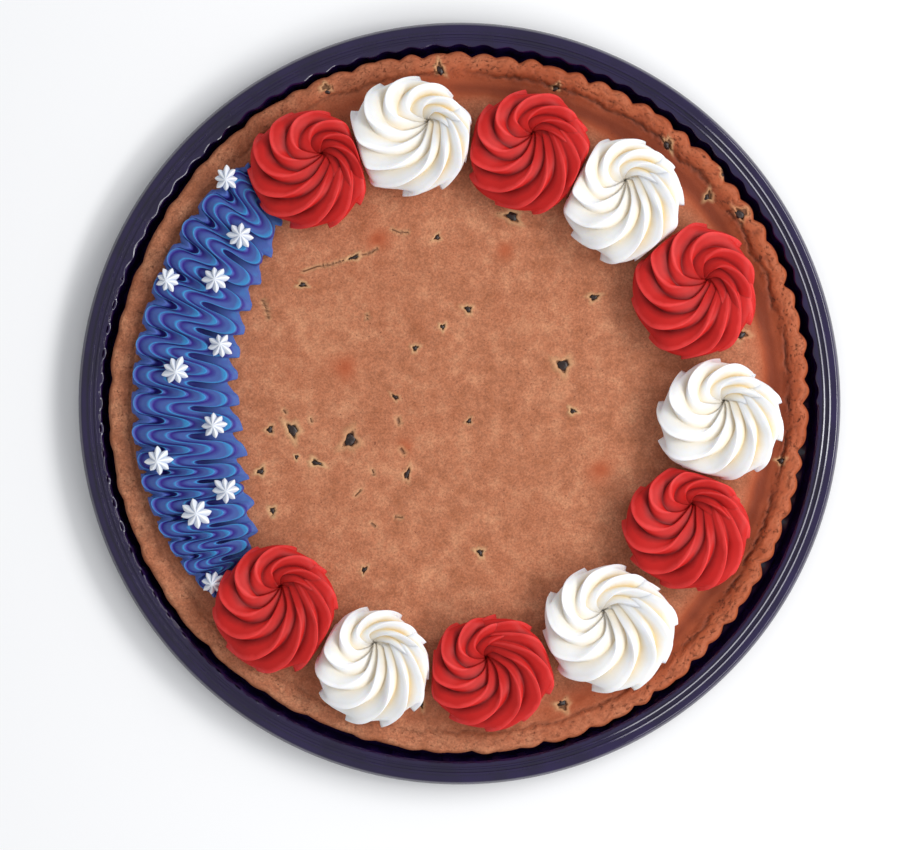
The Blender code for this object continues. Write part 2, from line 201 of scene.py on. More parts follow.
add_lamp("Key", 19.0, 42.0, 1.7, 1.30, 0.50, 15.0)
add_lamp("Strip", -30.0, 42.0, 1.7, 1.60, 0.30, 11.0)
world = bpy.data.worlds.new("Studio")
scene.world = world
world.use_nodes = True
sky = world.node_tree.nodes["Background"].inputs
sky["Color"].default_value, sky["Strength"].default_value = linear(SKY_COLOUR), SKY_STRENGTH
scene.view_settings.view_transform = "Standard"

# %% [markdown]
# ## From a sheet to a piece
#
# Most pieces here begin as a flat grid, with u across it and v along it, both from 0 to 1. One
# function makes the grid, and a second gives every point its place, worked out with numpy. A third
# closes the seams, and a last one makes the object.


# %% Grid to piece
WELD = 0.004 * MM


def new_grid(across, along):
    """A flat grid as a bmesh, with the u and v of each of its points."""
    bm = bmesh.new()
    bmesh.ops.create_grid(bm, x_segments=across, y_segments=along, size=0.5)
    bm.verts.index_update()
    flat = np.array([vert.co[:] for vert in bm.verts])
    return bm, flat[:, 0] + 0.5, flat[:, 1] + 0.5


def move_points(bm, places, values):
    """Moves every point of a bmesh to its place, and writes its values for the material."""
    layers = [(bm.verts.layers.float.new(name), numbers) for name, numbers in values.items()]
    for i, (vert, place) in enumerate(zip(bm.verts, places.tolist())):
        vert.co = place
        for layer, numbers in layers:
            vert[layer] = numbers[i]


def plan_of(bm):
    """The x and the y of every point of a bmesh."""
    return np.array([vert.co[:2] for vert in bm.verts]).T


def close_piece(bm):
    """Welds seams, fills what is open and turns the faces outwards."""
    bmesh.ops.remove_doubles(bm, verts=bm.verts[:], dist=WELD)
    bmesh.ops.dissolve_degenerate(bm, dist=WELD, edges=bm.edges[:])
    rims = [edge for edge in bm.edges if edge.is_boundary]
    if rims:
        bmesh.ops.holes_fill(bm, edges=rims, sides=0)
    bmesh.ops.triangulate(bm, faces=[f for f in bm.faces if len(f.verts) > 4])
    bmesh.ops.recalc_face_normals(bm, faces=bm.faces[:])


def make_piece(bm, name, material, node):
    """Turns a bmesh into a smooth-shaded piece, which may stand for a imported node."""
    for face in bm.faces:
        face.smooth = True
    piece = add_object(bm, name, material)
    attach(piece, "root")
    if node:
        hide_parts(node)
    print(f"{name}: {sum(len(face.vertices) - 2 for face in piece.data.polygons)} triangles")


# %% [markdown]
# ## The tray
#
# The tray is drawn from one sheet of glossy plum-black plastic. Its section is a list of points from
# the middle of the floor to the lip and back underneath, spun round the middle. The wall is fluted
# like the cookie's edge: its points swing in and out.

# %% Tray sizes
FLUTES = 90
# Top of the tray, outwards: radius and height in mm, and the wall's share of the flutes' wave. The
# short slopes near 157, 159.7 and 162 mm mirror a lamp to the camera, and a point beside each of
# their corners keeps the shading tight.
TRAY_TOP = (
    (0, 0.9), (60, 0.9), (120, 0.9), (150, 0.9), (153.4, 0.9, 0.5), (154.2, 1.3, 1),
    (154.6, 2.4, 1), (155.3, 5.4, 1), (156, 8.4, 1), (156.6, 11, 1), (156.68, 11.7, 1),
    (156.74, 11.88, 1), (156.8, 11.92, 1), (157, 12.035, 1), (157.2, 12.14, 1),
    (157.4, 12.235, 1), (157.5, 12.265, 1), (157.6, 12.27, 0.95), (157.75, 12.27, 0.85),
    (158.4, 12.27, 0.3), (159.05, 12.27), (159.1, 12.275), (159.14, 12.3), (159.2, 12.89),
    (159.21, 12.915), (159.23, 12.92), (159.36, 12.92), (159.44, 12.888), (159.92, 12.699),
    (160, 12.667), (160.06, 12.4), (160.12, 12.36), (160.2, 12.36), (161.3, 12.395), (161.38, 12.4),
    (161.43, 12.5), (161.5, 13.67), (161.51, 13.695), (161.53, 13.7), (161.8, 13.7), (161.88, 13.668),
    (162.3, 13.503), (162.38, 13.471), (162.46, 12.75), (162.54, 12.65), (162.62, 12.645),
    (163.8, 12.62), (164.8, 12.6), (165.3, 12.5), (165.7, 12.15), (166, 11.6), (166.4, 10.4),
    (166.8, 9.5),
)
# The same sheet from below, going back to the middle
TRAY_UNDER = (
    (165.9, 9.5), (165.3, 11.4), (164.6, 12), (163, 11.9), (159.4, 11.6), (157.8, 11, 1),
    (156.3, 5.4, 1), (155.2, 1, 1), (154, 0, 0.3), (120, 0), (0, 0),
)
FLUTE_SWING = 0.6 * MM
TRAY_STEPS = 1080


def make_tray(material):
    """Spins the tray's section round the middle and flutes its wall."""
    section = TRAY_TOP + TRAY_UNDER
    bm = bmesh.new()
    line = [bm.verts.new((r * MM, 0.0, z * MM)) for r, z, *_ in section]
    edges = [bm.edges.new(pair) for pair in zip(line, line[1:])]
    bmesh.ops.spin(bm, geom=line + edges, cent=(0, 0, 0), axis=(0, 0, 1), angle=math.tau,
                   steps=TRAY_STEPS, use_merge=True)
    waves = {(round(r * MM, 6), round(z * MM, 6)): wave[0] for r, z, *wave in section if wave}
    for vert in bm.verts:
        radius = math.hypot(vert.co.x, vert.co.y)
        wave = waves.get((round(radius, 6), round(vert.co.z, 6)))
        if wave:
            turn = math.atan2(vert.co.y, vert.co.x)
            grown = 1.0 - wave * FLUTE_SWING * math.cos(FLUTES * turn) / radius
            vert.co.x *= grown
            vert.co.y *= grown
    close_piece(bm)
    make_piece(bm, "tray_shell", material, "tray")


# %% [markdown]
# Thermoformed polystyrene is glossy, and such a dark plum that it is almost all reflection. The sheet
# is never even: a broad, faint ripple breaks the highlights up, and fine scuffs dull them.


# %% Tray plastic
def tray_plastic():
    """Glossy plum-black polystyrene with faint ripples and scuffs."""
    material, add = new_material("Thermoformed polystyrene")
    where = add("TexCoord").outputs["Object"]
    broad = add("TexNoise", {"Vector": where, "Scale": 1.0 / (14.0 * MM)})
    tint = add("ValToRGB", {"Fac": broad})
    set_ramp(tint, ((0.3, "#160A31"), (0.7, "#1E0F3F")))
    scuff = add("TexNoise", {"Vector": where, "Scale": 1.0 / (2.2 * MM), "Detail": 4.0})
    gloss = add("MapRange", {
        "Value": scuff, "From Min": 0.35, "From Max": 0.75, "To Min": 0.09, "To Max": 0.16})
    ripple = add("Bump", {"Height": broad, "Strength": 0.12, "Distance": 0.3 * MM})
    add("BsdfPrincipled", {"Base Color": tint, "Roughness": gloss, "IOR": 1.59, "Normal": ripple})
    return material


make_tray(tray_plastic())

# %% [markdown]
# ## The cookie
#
# The cookie is a disc whose outline has 90 scallops. A square grid is bent into a disc ring by ring,
# which keeps its cells nearly square. They are small at the craggy edge and in the open middle, and
# larger under the icing. Where a chip or a crack breaks the surface, the grid is subdivided first,
# so the hollow comes out round.

# %% Cookie sizes
COOKIE_RINGS = 132
COOKIE_RADIUS = 152.4  # mm
# How the rings are spread: share of the rings, radius in mm
RING_SPREAD = ((0, 0), (0.60, 92), (0.74, 126), (1, 152.4))
# Height of the baked top: radius, height in mm
TOP_PROFILE = (
    (0, 13.2), (118, 13.2), (126, 12.95), (132, 12.35), (137, 12.15), (141, 12.6),
    (144.5, 13.8), (147.5, 14.3), (149.6, 14.35), (151.3, 14), (152.1, 13.1), (152.4, 11.4),
)
# The side, downwards: height in mm, and how much narrower each step is than the one above
SIDE_PROFILE = ((7.0, 1.0), (3.4, 0.994), (1.6, 0.985), (1.2, 0.972))
SCALLOP_DEPTH = 1.8 * MM
RIM_CRAGS_AT = 147.0 * MM  # the radius at which crags measured along the rim have their true size
# A baked disc is never quite round: its radius in mm for the middle of each step of 15 degrees, from
# the right and upwards
OUTLINE_STEP = 15.0
OUTLINE = (
    153.7, 154, 153.8, 154.3, 153.9, 153.5, 154, 154.6, 154.5, 153.5, 152.6, 153.3, 153.6, 153.5,
    154, 153.2, 152.3, 152.9, 153.6, 154.5, 154.2, 152.6, 152.1, 152.2,
)
# Chips that show: column, row, radius in mm, length over width, the long way in degrees
CHIPS = (
    (563, 365, 2.3, 1.15, 20), (350, 440, 2.4, 1.3, 85), (292, 430, 2, 1.35, 115),
    (269.5, 429.5, 1.1, 1.4, 80), (437, 237, 1.1, 1.1, 60), (468, 309, 1.2, 1.3, 130),
    (442.5, 326.5, 1, 1.1, 0), (512, 216, 1.9, 1.4, 150), (260, 471.5, 1.2, 1.3, 20),
    (272, 511, 1.1, 1.3, 100), (407, 474, 1, 2.4, 68), (316, 463, 1, 2.4, 165),
    (480, 553, 1.1, 1.5, 120), (573, 411, 1, 1.3, 170), (594, 297, 1.2, 1.5, 0),
    (415, 348, 1, 1.3, 60), (302, 284.5, 1, 1.5, 10), (395, 397, 0.8, 2, 150),
    (353.5, 257, 0.8, 3, 16), (469, 421, 0.8, 1.5, 60), (740, 214, 1.9, 1.2, 150),
    (327, 91, 1.1, 1.5, 10), (440, 70, 1.3, 1.5, 120), (741, 335, 1.5, 1.4, 20),
    (782, 461, 1.1, 1.2, 0), (296, 457, 0.7, 1.3, 70), (556, 88, 0.9, 1.6, 30),
    (667, 145, 1.2, 1.6, 100), (707, 197, 1.3, 1.3, 60), (722, 174, 0.9, 1.6, 140),
    (364, 570, 0.9, 1.6, 50), (562, 703, 1.5, 1.4, 20), (421, 704, 1.1, 1.3, 90),
)
# Cracks and slits: the line they follow in pixels, half their width and their depth in mm
CRACKS = (
    (((303, 271), (317, 266), (330, 264.5), (343, 260)), 0.35, 0.5),
    (((362, 254.5), (371, 252.5), (377, 248)), 0.35, 0.5),
    (((392, 229), (399, 232), (408, 232)), 0.35, 0.5),
    (((372, 470), (374, 475)), 0.35, 0.6), (((355, 496), (359, 492), (360, 490)), 0.35, 0.6),
    (((395, 517), (402, 518)), 0.35, 0.5), (((367, 314), (367, 319)), 0.35, 0.6),
    (((398, 419), (399, 423)), 0.6, 0.7), (((401, 449), (404, 453)), 0.6, 0.7),
    (((262, 300), (266, 309), (268, 318)), 0.4, 0.6), (((371, 523), (375, 526)), 0.35, 0.5),
    (((283, 410), (285, 413)), 0.4, 0.5), (((310, 418), (311, 422)), 0.35, 0.5),
)
# Brown patches where the oven caught the top: column, row, radius in mm
SCORCHES = ((378, 239, 4.5), (345, 367, 5), (405, 448, 3.5), (505, 250, 4), (600, 470, 5))


def spread_rings(a, b):
    """Bends the square -1..1 into a disc: (share of the radius, angle)."""
    steep = np.abs(b) > np.abs(a)
    share = np.where(steep, b, a)
    safe_a = np.where(steep | (a == 0.0), 1.0, a)
    safe_b = np.where(~steep | (b == 0.0), 1.0, b)
    angle = np.where(steep, np.pi / 2.0 - np.pi / 4.0 * a / safe_b, np.pi / 4.0 * b / safe_a)
    return np.abs(share), angle + np.where(share < 0.0, np.pi, 0.0)


def grain(x, y, size, seed):
    """Smooth noise between -1 and 1 whose bumps are about size across."""
    return np.array([noise.noise((i / size, j / size, seed)) for i, j in zip(x.tolist(), y.tolist())])


def distance_to_line(x, y, line):
    """How far each point lies from a line through pixels of the photograph."""
    nearest = np.full(x.shape, 1.0)
    for start, end in zip(line, line[1:]):
        (x0, y0), (x1, y1) = place_of(*start), place_of(*end)
        dx, dy = x1 - x0, y1 - y0
        along = clamp(((x - x0) * dx + (y - y0) * dy) / (dx * dx + dy * dy))
        nearest = np.minimum(nearest, np.hypot(x - x0 - along * dx, y - y0 - along * dy))
    return nearest


def chip_distance(x, y, chip):
    """Distance from a chip's middle as a share of its radius, so 1 is its outline."""
    column, row, radius, longer, turn = chip
    cx, cy = place_of(column, row)
    cos, sin = direction(turn)
    along = ((x - cx) * cos + (y - cy) * sin) / (radius * MM * longer)
    across = ((y - cy) * cos - (x - cx) * sin) / (radius * MM)
    bearing = np.arctan2(across, along)
    ragged = 0.22 * np.sin(3.0 * bearing + column) + 0.16 * np.sin(5.0 * bearing + row)
    return np.hypot(along, across) * (1.0 + ragged)


def baked_top(x, y):
    """Height of the cookie's top, its browning and painted moat shade, its paleness, and painted hollow
    shade.
    """
    radius, angle = np.hypot(x, y), np.arctan2(y, x)
    ring = radius / MM
    height = np.interp(ring, *zip(*TOP_PROFILE)) * MM
    edge = soft_step((ring - 139.0) / 6.0)
    swell = grain(x, y, 26.0 * MM, 1.0)
    fine = grain(x, y, 7.0 * MM, 2.0)
    height += (0.34 * swell + 0.16 * fine) * MM * (1.0 - 0.6 * edge)
    # The edge is craggy: lumps and long slits that run round the rim
    along_rim = angle * RIM_CRAGS_AT
    lumps = grain(along_rim, radius * 1.7, 4.4 * MM, 3.0)
    slits = grain(along_rim * 0.6, radius * 2.2, 3.6 * MM, 4.0)
    # The oven's hotter side is to the right: browner there, and more broken. On the left the rim is kept
    # nearly unbrowned, partly as a painted sheen.
    right_side_share = soft_step(0.5 + 0.7 * (x + 0.35 * y) / np.maximum(radius, MM))
    crag_share = edge * soft_step((152.6 - ring) / 2.0) * (0.5 + 0.5 * right_side_share)
    slit = soft_step((0.13 - np.abs(slits)) / 0.13) * soft_step((lumps + 0.35) / 0.4) * crag_share
    height += (0.45 * lumps * crag_share - 0.6 * slit) * MM
    # Where the rim stands up from the top, it has torn along a ragged line
    tear_at = 143.4 + 1.9 * grain(along_rim, radius * 0.0, 13.0 * MM, 6.0)
    tear_at += 1.3 * grain(along_rim, radius, 3.2 * MM, 7.0)
    torn = soft_step((grain(along_rim, radius * 0.3, 15.0 * MM, 8.0) + 0.38) / 0.35)
    torn *= 0.35 + 0.65 * right_side_share
    tear = np.exp(-((ring - tear_at) / 0.65) ** 2) * torn
    height -= 1.2 * tear * MM
    # The moat's deep brown, strongest on the right, is partly browning and partly painted shade from the
    # rim beside it.
    moat = np.exp(-((ring - 137.5) / 6.0) ** 2)
    browned_and_moat_shade = (0.02 + 0.70 * right_side_share) * edge + (0.15 + 1.1 * right_side_share) * moat
    browned_and_moat_shade += 0.12 * (swell + fine) + 0.16 * soft_step((ring - 150.8) / 1.6)
    for column, row, size in SCORCHES:
        cx, cy = place_of(column, row)
        browned_and_moat_shade += 0.8 * np.exp(-(np.hypot(x - cx, y - cy) / (size * MM)) ** 2)
    halo = np.zeros(x.shape)
    # Painted shade darkens the slits, the torn line, the chip hollows and the cracks
    hollow_shade = np.maximum(0.55 * slit, 0.95 * tear)
    for chip in CHIPS:
        away = chip_distance(x, y, chip)
        height -= 0.8 * MM * soft_step((1.12 - away) / 0.3)
        height += 0.22 * MM * np.exp(-((away - 1.45) / 0.35) ** 2)
        halo = np.maximum(halo, soft_step((2.5 - away) / 1.6) * (0.75 + 0.25 * np.sin(chip[0])))
        hollow_shade = np.maximum(hollow_shade, soft_step((1.06 - away) / 0.2))
    for line, half, depth in CRACKS:
        away = distance_to_line(x, y, line) / (half * MM)
        height -= depth * MM * np.exp(-away ** 2)
        halo = np.maximum(halo, 0.45 * soft_step((4.5 - away) / 3.5))
        hollow_shade = np.maximum(hollow_shade, soft_step((1.2 - away) / 0.7))
    return height, {"browned_and_moat_shade": browned_and_moat_shade, "halo": halo, "hollow_shade": hollow_shade, "crag": crag_share}


def refine_near_features(bm):
    """Cuts the grid finer round each chip and crack."""
    x, y = plan_of(bm)
    near = np.zeros(x.shape, dtype=int)
    for chip in CHIPS:
        near[chip_distance(x, y, chip) < 1.0 + 1.6 / chip[2]] = 2
    for line, _, _ in CRACKS:
        near[distance_to_line(x, y, line) < 1.1 * MM] = 5
    ends = [(edge, min(near[edge.verts[0].index], near[edge.verts[1].index])) for edge in bm.edges]
    for cuts in (5, 2):
        bmesh.ops.subdivide_edges(bm, edges=[edge for edge, finest in ends if finest == cuts], cuts=cuts,
                                  use_grid_fill=True)
    bm.verts.index_update()


def make_cookie(material):
    """The baked disc: top, scalloped side and flat underside."""
    bm, u, v = new_grid(2 * COOKIE_RINGS, 2 * COOKIE_RINGS)
    share, angle = spread_rings(2.0 * u - 1.0, 2.0 * v - 1.0)
    radius = np.interp(share, *zip(*RING_SPREAD)) * MM
    for vert, r, a in zip(bm.verts, radius.tolist(), angle.tolist()):
        vert.co = (r * math.cos(a), r * math.sin(a), 0.0)
    refine_near_features(bm)
    x, y = plan_of(bm)
    height, values = baked_top(x, y)
    radius, angle = np.hypot(x, y), np.arctan2(y, x)
    # The scallops are plain on the right and nearly lost on the left, where the dough spread
    flute = 1.0 - np.abs(np.sin(0.5 * FLUTES * angle))
    flute *= 0.25 + 0.85 * soft_step(0.5 + 0.7 * (np.cos(angle) + 0.35 * np.sin(angle)))
    flute *= 1.0 + 0.30 * np.sin(37.0 * angle + 1.0) + 0.22 * np.sin(23.0 * angle)
    flute += 0.16 * np.sin(53.0 * angle + 2.0) + 0.13 * np.sin(31.0 * angle)
    reach = radius - SCALLOP_DEPTH * flute * soft_step((radius / MM - 141.0) / 11.0)
    bearings = OUTLINE_STEP * (np.arange(len(OUTLINE)) + 0.5)
    grown = np.interp(np.degrees(angle), bearings, OUTLINE, period=360.0) / COOKIE_RADIUS
    reach *= 1.0 + (grown - 1.0) * soft_step((radius / MM - 100.0) / 50.0)
    places = np.stack([reach * np.cos(angle), reach * np.sin(angle), height], axis=1)
    move_points(bm, places, values)
    # The side and the underside are drawn down from the rim
    for drop_to, shrink in SIDE_PROFILE:
        rim = [edge for edge in bm.edges if edge.is_boundary]
        drawn = bmesh.ops.extrude_edge_only(bm, edges=rim)["geom"]
        for vert in [g for g in drawn if isinstance(g, bmesh.types.BMVert)]:
            vert.co = (vert.co.x * shrink, vert.co.y * shrink, drop_to * MM)
    close_piece(bm)
    make_piece(bm, "cookie_baked", material, "cookie")


# %% [markdown]
# Baked dough is a mix of browns. A noise about 9 mm across gives the mottling, a finer one the
# crumb, and tiny dark specks are bits of chocolate dust. The point values from the mesh say where
# the oven's browning is, with painted shade in the moat and a painted sheen where the left rim is
# kept pale; where pale dough broke open round a chip; and where painted shade darkens the rim's pits
# and the cracks, slits and chip hollows. Each of these colours is laid over the ones before it.


# %% Baked dough
PIT_TURNS = 85.0  # how often the rim's pits repeat in one radian
PIT_WIDTH = 1.25 * MM


def baked_dough():
    """Butter biscuit: mottled tan, browner at the edge, pale where it broke, with a fine crumb, and painted
    shade in the moat, pits and cracks.
    """
    material, add = new_material("Baked butter biscuit")
    where = add("TexCoord").outputs["Object"]
    browned_and_moat_shade, halo, crag, hollow_shade = (add("Attribute", attribute_name=value).outputs["Fac"]
                                    for value in ("browned_and_moat_shade", "halo", "crag", "hollow_shade"))
    mottle = add("TexNoise", {"Vector": where, "Scale": 1.0 / (9.0 * MM), "Detail": 6.0, "Roughness": 0.68})
    tan = add("ValToRGB", {"Fac": mottle})
    set_ramp(tan, ((0.32, "#A76442"), (0.5, "#BA7553"), (0.68, "#CC8B66")))
    crumb = add("TexNoise", {"Vector": where, "Scale": 1.0 / (0.9 * MM), "Detail": 3.0, "Roughness": 0.65})
    crumb_share = add("MapRange", {
        "Value": crumb, "From Min": 0.35, "From Max": 0.65, "To Min": 0.74, "To Max": 1.17})
    tone = add("Mix", {"Factor": 1.0, "A": tan, "B": crumb_share}, data_type="RGBA", blend_type="MULTIPLY")
    specks = add("TexVoronoi", {"Vector": where, "Scale": 1.0 / (3.4 * MM)})
    nicks = add("TexNoise", {
        "Vector": where, "Scale": 1.0 / (1.9 * MM), "Detail": 3.0, "Roughness": 0.55, "Distortion": 1.2})
    # Pits that run round the rim, in clusters: noise drawn out along the edge. A bump dents them and
    # painted shade darkens them.
    flat = add("VectorMath", {0: where, 1: (1.0, 1.0, 0.0)}, operation="MULTIPLY")
    bearing = add("VectorMath", {0: flat}, operation="NORMALIZE")
    round_rim = add("VectorMath", {0: bearing, "Scale": PIT_TURNS}, operation="SCALE")
    reach = add("VectorMath", {0: flat}, operation="LENGTH")
    outwards = add("Math", {0: reach, 1: 1.0 / PIT_WIDTH}, operation="MULTIPLY")
    rings = add("CombineXYZ", {"Z": outwards})
    drawn = add("VectorMath", {0: round_rim, 1: rings})
    pits = add("TexNoise", {
        "Vector": drawn, "Scale": 0.8, "Detail": 5.0, "Roughness": 0.75, "Distortion": 0.4})
    pit_share = add("MapRange", {"Value": pits, "From Min": 0.56, "From Max": 0.68, "To Max": 0.9})
    clusters = add("MapRange", {"Value": mottle, "From Min": 0.42, "From Max": 0.55, "To Min": 0.15})
    rim_share = add("Math", {0: pit_share, 1: crag}, operation="MULTIPLY")
    pits_and_pit_shade = add("Math", {0: rim_share, 1: clusters}, operation="MULTIPLY")
    # What shows a colour, between which values it comes up, how strongly, and the colour. The dark brown
    # is partly painted shade in the moat; the last two rows are painted shade in the rim's pits, and in
    # cracks, slits, the torn line and chip hollows.
    for shown_by, low, high, most, colour in (
            (browned_and_moat_shade, 0.0, 0.9, 0.9, "#B0522C"), (browned_and_moat_shade, 0.75, 1.2, 0.8, "#702C14"),
            (halo, 0.0, 1.0, 0.74, "#DDB584"), (specks, 0.11, 0.05, 0.6, "#5A2A1A"),
            (nicks, 0.69, 0.75, 0.75, "#6A3420"), (pits_and_pit_shade, 0.0, 1.0, 1.0, "#5E2612"),
            (hollow_shade, 0.0, 1.0, 0.75, "#4A2416")):
        share = add("MapRange", {"Value": shown_by, "From Min": low, "From Max": high, "To Max": most})
        tone = add("Mix", {"Factor": share, "A": tone, "B": colour}, data_type="RGBA")
    lumps = add("TexNoise", {"Vector": where, "Scale": 1.0 / (2.6 * MM), "Detail": 4.0, "Roughness": 0.7})
    relief = add("Bump", {"Height": lumps, "Strength": 0.6, "Distance": 0.35 * MM})
    relief = add("Bump", {
        "Height": pits_and_pit_shade, "Strength": 0.8, "Distance": 0.8 * MM, "Normal": relief}, invert=True)
    relief = add("Bump", {"Height": crumb, "Strength": 0.5, "Distance": 0.22 * MM, "Normal": relief})
    add("BsdfPrincipled", {
        "Base Color": tone, "Roughness": 0.62, "IOR": 1.45, "Specular IOR Level": 0.35, "Normal": relief})
    return material


make_cookie(baked_dough())

# %% [markdown]
# ## Chocolate chips
#
# A chip melts a little in the oven and sinks into the dough, so what shows is a low, lumpy, matt
# button in a hollow. Each is a small ball, flattened and dented by noise.

# %% Chips
CHIP_SUNK = 0.9 * MM  # how far a chip's middle lies under the dough round it
CHIP_TOP = 0.14 * MM  # how far its top stands over that dough


def make_chips(material):
    """All chips that show, as one piece of small flattened balls."""
    bm = bmesh.new()
    rng = random.Random(5)
    for column, row, radius, longer, turn in CHIPS:
        cx, cy = place_of(column, row)
        made = bmesh.ops.create_icosphere(bm, subdivisions=3, radius=1.0)["verts"]
        level = float(np.interp(math.hypot(cx, cy) / MM, *zip(*TOP_PROFILE))) * MM
        seed = rng.uniform(0.0, 50.0)
        cos, sin = direction(turn)
        for vert in made:
            dent = 1.0 + 0.28 * noise.noise(vert.co * 1.6 + Vector((seed, seed, 0.0)))
            along = vert.co.x * radius * longer * dent * MM
            across = vert.co.y * radius * dent * MM
            vert.co = (cx + along * cos - across * sin, cy + along * sin + across * cos,
                       level - CHIP_SUNK + vert.co.z * dent * (CHIP_SUNK + CHIP_TOP))
    bmesh.ops.recalc_face_normals(bm, faces=bm.faces[:])
    make_piece(bm, "chocolate_chips", material, None)


def dark_chocolate():
    """Semi-sweet chocolate after baking: near black, satin, with a dusty bloom in places."""
    material, add = new_material("Baked dark chocolate")
    where = add("TexCoord").outputs["Object"]
    bloom = add("TexNoise", {"Vector": where, "Scale": 1.0 / (1.1 * MM), "Detail": 4.0})
    tint = add("ValToRGB", {"Fac": bloom})
    set_ramp(tint, ((0.35, "#1C0F0D"), (0.6, "#2E1C19"), (0.78, "#5A463F")))
    dents = add("Bump", {"Height": bloom, "Strength": 0.6, "Distance": 0.2 * MM})
    add("BsdfPrincipled", {"Base Color": tint, "Roughness": 0.42, "IOR": 1.5, "Normal": dents})
    return material


make_chips(dark_chocolate())

# %% [markdown]
# ## Buttercream
#
# Buttercream is butter and sugar, so light goes a little way into it: thin crests look pale, and deep
# grooves glow with the colour of the dye or the butter. Much of this is painted into the colour. A
# value called fold is 0 in a groove and 1 on a crest, and the colour follows it, from painted shade
# in the grooves to a painted highlight on the crests. Another, lit, is 1 towards the light, where the
# grooves get a painted glow. A touch of subsurface scattering softens the shading, and a fine bump
# gives the sugar's grain.


# %% Buttercream finish
def buttercream(name, shade, glow, face, crest, depth, crest_at=0.93, gloss=0.34, groove_to=0.52,
                through=0.35):
    """Whipped butter icing: grooves from painted shade to a painted glow where the light comes through,
    faces, and crests with a painted highlight.
    """
    material, add = new_material(name)
    where = add("TexCoord").outputs["Object"]
    fold, lit = (add("Attribute", attribute_name=value).outputs["Fac"] for value in ("fold", "lit"))
    uneven = add("TexNoise", {"Vector": where, "Scale": 1.0 / (5.0 * MM), "Detail": 3.0})
    nudge = add("MapRange", {
        "Value": uneven, "From Min": 0.2, "From Max": 0.8, "To Min": -0.08, "To Max": 0.08})
    place = add("Math", {0: fold, 1: nudge})
    out_of_groove = add("MapRange", {"Value": place, "From Min": 0.02, "From Max": groove_to})
    crest_highlight = add("MapRange", {"Value": place, "From Min": crest_at - 0.16, "From Max": crest_at})
    tone = shade
    for share, colour in ((lit, glow), (out_of_groove, face), (crest_highlight, crest)):
        tone = add("Mix", {"Factor": share, "A": tone, "B": colour}, data_type="RGBA")
    sugar = add("TexNoise", {"Vector": where, "Scale": 1.0 / (0.7 * MM)})
    drag = add("TexNoise", {"Vector": where, "Scale": 1.0 / (3.0 * MM)})
    relief = add("Bump", {"Height": drag, "Strength": 0.20, "Distance": 0.3 * MM})
    relief = add("Bump", {"Height": sugar, "Strength": 0.10, "Distance": 0.1 * MM, "Normal": relief})
    add("BsdfPrincipled", {
        "Base Color": tone, "Roughness": 0.48, "IOR": 1.45, "Specular IOR Level": gloss,
        "Subsurface Weight": through, "Subsurface Scale": MM, "Subsurface Radius": depth,
        "Normal": relief})
    return material


# Colours in order: painted groove shade, painted glow, face, painted crest highlight
red_icing = buttercream("Red buttercream", "#640A0C", "#861012", "#C42320", "#DC3B39", (1.6, 0.3, 0.25),
                        gloss=0.22)
white_icing = buttercream("White buttercream", "#E8E1D2", "#EECF8C", "#EFEFEE", "#FAFAFB", (1.5, 1.3, 1.0),
                          groove_to=0.62, through=0.4)
print("icings:", red_icing.name, white_icing.name)

# %% [markdown]
# ## Rosettes
#
# A rosette is one strand from a big star nozzle, led round nearly once and a half. The hand moves but
# the nozzle never turns, so every point of the star draws the same path, only shifted. That makes the
# folds sweep from the rim to the eye. The code does just this: on a grid, u round the nozzle and v
# along the strand, each point goes to the path's place plus its own place on the star. The trailing
# half of the star becomes the top of the strand.

# %% Rosette sizes
# Clockwise from the top left: angle in degrees, distance, radius, the eye's place off the middle
# (x, y), and the angle at which the strand ends, lengths in mm
ROSETTES = (
    (123.1, 121.6, 26.1, (4.6, 7.1), 60), (100.3, 118.8, 26.5, (7, 7.1), 98),
    (74.4, 113.7, 26.8, (1.3, 8.4), 100), (50.8, 114, 26.7, (0.8, 8.4), 108),
    (25.5, 113.6, 28.2, (5, 4.6), 62), (-3.5, 113.7, 27.2, (1.7, 8.8), 112),
    (-29.2, 112.4, 27.2, (2.1, 10.6), 92), (-56.3, 117.7, 28.8, (-2.5, 7.5), 118),
    (-83.4, 117.9, 26.5, (-1.7, 6.7), 160), (-108.4, 119.5, 25.5, (0, 10.2), 102),
    (-132.1, 119, 27.2, (1.7, 9.4), 108),
)
# None is quite round: each one's width and height over a circle's, and how far it is moved to the
# right and up, in mm
ROSETTE_SHAPES = (
    (1.07, 1.03, 1.3, 0), (1.10, 1.01, 0, -0.6), (1.06, 1.035, 0, 0), (1.025, 1.075, -0.7, 0),
    (1, 1.10, 0, 0), (1.06, 1.02, 0, -0.9), (1.05, 1.04, 0.9, 0), (1.055, 1.01, 0, 0),
    (1.08, 0.99, 0, 0), (1.035, 1.055, 0.4, -1.7), (1.025, 1.07, 0, -1.3),
)
TEETH = 10
TOOTH_POINTS = (0.0, 0.03, 0.07, 0.12, 0.17, 0.22, 0.29, 0.38, 0.48, 0.59, 0.70, 0.81, 0.90, 0.965)
GROOVE_AT = 0.20
FOLD_DEPTH = 0.37  # of the nozzle's radius
RIM_STEP = 0.34  # the deepest blunt ends on the rim, of the nozzle's radius
RIM_DROP_AT = 0.965  # share of a tooth at which a blunt end has dropped to the next crest
NOZZLE_SHARE = 0.485  # the nozzle's radius, of the rosette's
NOZZLE_TURN = 0.13  # how far the star is turned from one rosette to the next, in turns
TURNS = 1.42
STRAND_RINGS = 260
ICING_BASE = 13.5 * MM
STRAND_TOP = 9.6 * MM
STRAND_FOOT = 7.0 * MM
LAST_LIFT = 2.2 * MM  # how far the strand's end lies over its start
FIRST_SINK = 1.8 * MM  # how far its start is pushed down
ICING_FOOT = 12.6 * MM  # no icing goes lower
